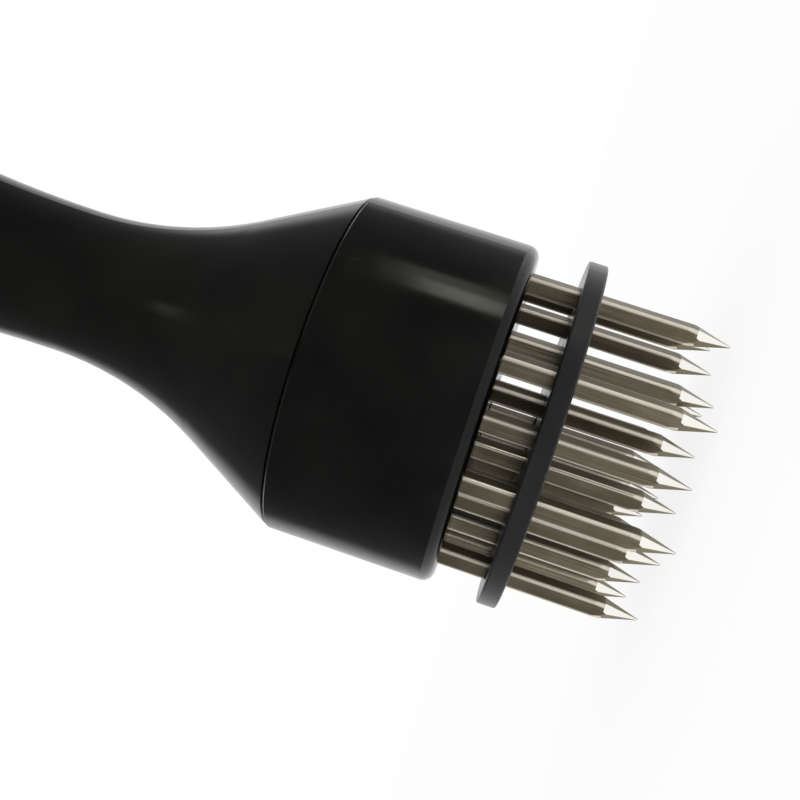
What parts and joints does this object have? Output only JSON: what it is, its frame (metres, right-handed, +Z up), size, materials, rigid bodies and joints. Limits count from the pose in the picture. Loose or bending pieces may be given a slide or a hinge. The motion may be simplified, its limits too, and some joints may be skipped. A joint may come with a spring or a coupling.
{
  "type": "needle meat tenderizer",
  "caption": "Handheld meat tenderizer: waisted black handle flaring into a round collar, steel needles with ground points, and a round plate that slides on them.",
  "frame": {"origin": "on the tool's axis, in the plane of the needle points", "axes": "+Z up the tool's axis, from the needle points to the domed end of the handle; +Y along the hanging hole"},
  "size_m": [0.0508, 0.0508, 0.198],
  "materials": {
    "black_moulding": "satin-gloss black moulded plastic with a faint moulded grain",
    "plate_moulding": "satin black moulded plastic with a slight blue-grey sheen",
    "carrier_moulding": "matte black moulded plastic",
    "needle_steel": "drawn stainless steel bar with ground points",
    "pressed_steel": "rolled steel sheet, pressed to a disc",
    "screw_steel": "bright plated steel"
  },
  "bodies": {
    "tool": {"handle": "black_moulding", "collar": "black_moulding", "needle_carrier": "carrier_moulding", "backing_disc": "pressed_steel", "centre_screw": "screw_steel", "screw_washer": "screw_steel", "needle_01": "needle_steel", "needle_02": "needle_steel", "needle_03": "needle_steel", "needle_04": "needle_steel", "needle_05": "needle_steel", "needle_06": "needle_steel", "needle_07": "needle_steel", "needle_08": "needle_steel", "needle_09": "needle_steel", "needle_10": "needle_steel", "needle_11": "needle_steel", "needle_12": "needle_steel", "needle_13": "needle_steel", "needle_14": "needle_steel", "needle_15": "needle_steel", "needle_16": "needle_steel", "needle_17": "needle_steel", "needle_18": "needle_steel", "needle_19": "needle_steel", "needle_20": "needle_steel", "needle_21": "needle_steel", "needle_22": "needle_steel", "needle_23": "needle_steel", "needle_24": "needle_steel"},
    "plate": {"stripper_plate": "plate_moulding"}
  },
  "joints": [
    {"name": "plate_slide", "type": "slide", "parent": "tool", "child": "plate", "axis": [0, 0, 1], "range_m": [-0.0118, 0.0066]}
  ]
}
